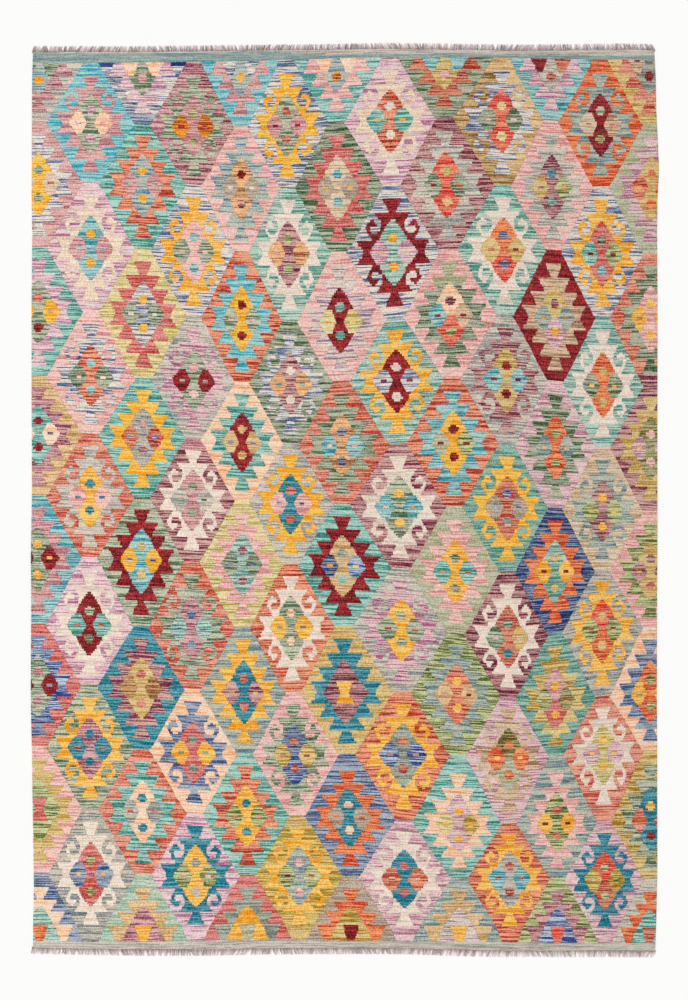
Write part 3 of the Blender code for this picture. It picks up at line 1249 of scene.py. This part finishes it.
def build_fringe(name, sign, edge, phase, paleness):
    """One fringe: a row of knotted locks of twisted yarn, lying on the floor."""
    fringe = bpy.context.scene.kilim_fringe
    chance = random.Random(phase * FRINGE_SEED)
    locks = Locks()
    left, right = edge[0][0] + INSET, edge[-1][0] - INSET
    pitch = (right - left) / (fringe.locks - 1)
    for number in range(fringe.locks):
        x = left + number * pitch
        chance.gauss(0, 1)   # nothing uses this draw, but the ones that follow depend on it
        tone = chance.random()
        for side in (-1, 1):
            knot_x = x + (side / 4 + chance.uniform(-KNOT_STRAY, KNOT_STRAY)) * pitch
            knot_y = float(Outline.read(edge, knot_x)) + sign * chance.uniform(*KNOT_STANDOFF)
            path = [(knot_x + part * fringe.knot, knot_y, REST) for part, _ in KNOT_SHAPE]
            radii = [radius * MM for _, radius in KNOT_SHAPE]
            locks.add(path, radii, tone * KNOT_TONE, [0] * len(path))
        for yarn in range(fringe.yarns):
            if yarn % STRAND_YARNS == 0:
                tone = chance.random()
                lean = fringe.lean * combed_lean(x, phase) + chance.gauss(0, 1) * STRAND_STRAY
            place = (yarn + 0.5) / fringe.yarns - 0.5
            root = x + place * fringe.root_spread + chance.uniform(-ROOT_STRAY, ROOT_STRAY)
            tip = x + place * fringe.tip_spread + lean + chance.gauss(0, 1) * TIP_STRAY
            base = float(Outline.read(edge, root))
            reach = fringe.reach * chance.uniform(fringe.shortest, 1.0)
            bend = chance.gauss(0, 1) * BEND
            layer = LAYERS[yarn % len(LAYERS)]
            shares = [step / (Locks.STEPS - 1) for step in range(Locks.STEPS)]
            points = []
            for t in shares:
                sway = (tip - root) * t**LATE_TURN + bend * math.sin(math.pi * t)
                along = -fringe.overlap + t * (fringe.overlap + reach)
                height = REST * (1 - t)**2 + layer * (1 - (1 - t)**2)
                points.append((root + sway, base + sign * along, height))
            radii = [fringe.yarn_width / 2 * (1 - (1 - TIP_SHARE) * t**2) for t in shares]
            radii[-1] *= POINT_SHARE
            own_tone = chance.random()
            yarn_tone = tone * STRAND_TONE + own_tone * (1 - STRAND_TONE) + paleness
            locks.add(points, radii, yarn_tone, shares)
    mesh = bpy.data.meshes.new(name)
    mesh.from_pydata(locks.vertices, [], locks.faces)
    add_attribute(mesh, "tone", "FLOAT", "POINT", locks.tones)
    add_attribute(mesh, "wear", "FLOAT", "POINT", locks.wears)
    add_uv(mesh, "strand", locks.uvs)
    mesh.shade_smooth()
    return mesh


# ---------------- operators

def add_piece(name, mesh, material):
    mesh.materials.append(material)
    piece = bpy.data.objects.new(name, mesh)
    bpy.context.scene.collection.objects.link(piece)
    return piece


class KILIM_OT_cloth(bpy.types.Operator):
    """Weave the patterned cloth"""

    bl_idname = "kilim.cloth"
    bl_label = "Cloth"

    def execute(self, context):
        cloth = add_piece("woven_cloth", build_cloth(), wool_material(context.scene.kilim_weave))
        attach(cloth, "root")
        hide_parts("cloth")
        return {"FINISHED"}


class KILIM_OT_fringes(bpy.types.Operator):
    """Knot the fringe at each end of the cloth"""

    bl_idname = "kilim.fringes"
    bl_label = "Fringes"

    def execute(self, context):
        outline = Outline(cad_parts["cloth"])
        material = warp_material(context.scene.kilim_fringe)
        for end, sign, phase, paleness in FRINGES:
            name = f"warp_ends_{end}"
            edge = getattr(outline, end)
            piece = add_piece(name, build_fringe(name, sign, edge, phase, paleness), material)
            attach(piece, "root")
            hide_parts(f"fringe_{end}")
        return {"FINISHED"}


class KILIM_OT_studio(bpy.types.Operator):
    """Set up the floor, the light and the camera"""

    bl_idname = "kilim.studio"
    bl_label = "Studio"

    def execute(self, context):
        studio = context.scene.kilim_studio
        half = studio.floor_size / 2
        mesh = bpy.data.meshes.new("studio_floor")
        corners = [(-half, -half, 0), (half, -half, 0), (half, half, 0), (-half, half, 0)]
        mesh.from_pydata(corners, [], [(0, 1, 2, 3)])
        floor = add_piece("studio_floor", mesh, floor_material(studio))
        floor.location.z = -FLOOR_GAP

        world = bpy.data.worlds.new("studio_light")
        world.use_nodes = True
        world.node_tree.nodes["Background"].inputs["Strength"].default_value = studio.sky
        world.node_tree.nodes["Background"].inputs["Color"].default_value = (1, 1, 1, 1)
        context.scene.world = world

        sun = bpy.data.lights.new("key_light", "SUN")
        sun.energy = studio.key
        sun.angle = studio.key_softness
        key = bpy.data.objects.new("key_light", sun)
        key.rotation_euler = KEY_TILT
        context.scene.collection.objects.link(key)

        lens = bpy.data.cameras.new("camera")
        lens.lens = LENS
        lens.sensor_width = SENSOR
        lens.clip_end = FARTHEST
        camera = bpy.data.objects.new("camera", lens)
        camera.location = (*VIEW_CENTRE, LENS / SENSOR * IMAGE_HEIGHT * PHOTO_SCALE)
        context.scene.collection.objects.link(camera)
        context.scene.camera = camera
        context.scene.view_settings.view_transform = "Standard"
        return {"FINISHED"}


class KILIM_PT_panel(bpy.types.Panel):
    """Lists the rug's pieces and their settings"""

    bl_label = "Kilim rug"
    bl_idname = "KILIM_PT_panel"
    bl_space_type = "VIEW_3D"
    bl_region_type = "UI"
    bl_category = "Kilim"

    def draw(self, context):
        scene = context.scene
        for operator, settings in PANEL_ROWS:
            box = self.layout.box()
            box.operator(operator.bl_idname)
            group = getattr(scene, settings)
            for name in group.__annotations__:
                box.prop(group, name)


PANEL_ROWS = (
    (KILIM_OT_cloth, "kilim_weave"),
    (KILIM_OT_fringes, "kilim_fringe"),
    (KILIM_OT_studio, "kilim_studio"),
)
SETTINGS = {
    "kilim_weave": WeaveSettings,
    "kilim_fringe": FringeSettings,
    "kilim_studio": StudioSettings,
}
CLASSES = (*SETTINGS.values(), KILIM_OT_cloth, KILIM_OT_fringes, KILIM_OT_studio, KILIM_PT_panel)


def register():
    for cls in CLASSES:
        bpy.utils.register_class(cls)
    for name, group in SETTINGS.items():
        setattr(bpy.types.Scene, name, bpy.props.PointerProperty(type=group))


def unregister():
    for name in SETTINGS:
        delattr(bpy.types.Scene, name)
    for cls in reversed(CLASSES):
        bpy.utils.unregister_class(cls)


def main():
    register()
    for operator, _ in PANEL_ROWS:
        group, name = operator.bl_idname.split(".")
        getattr(getattr(bpy.ops, group), name)()


if __name__ == "__main__":
    main()
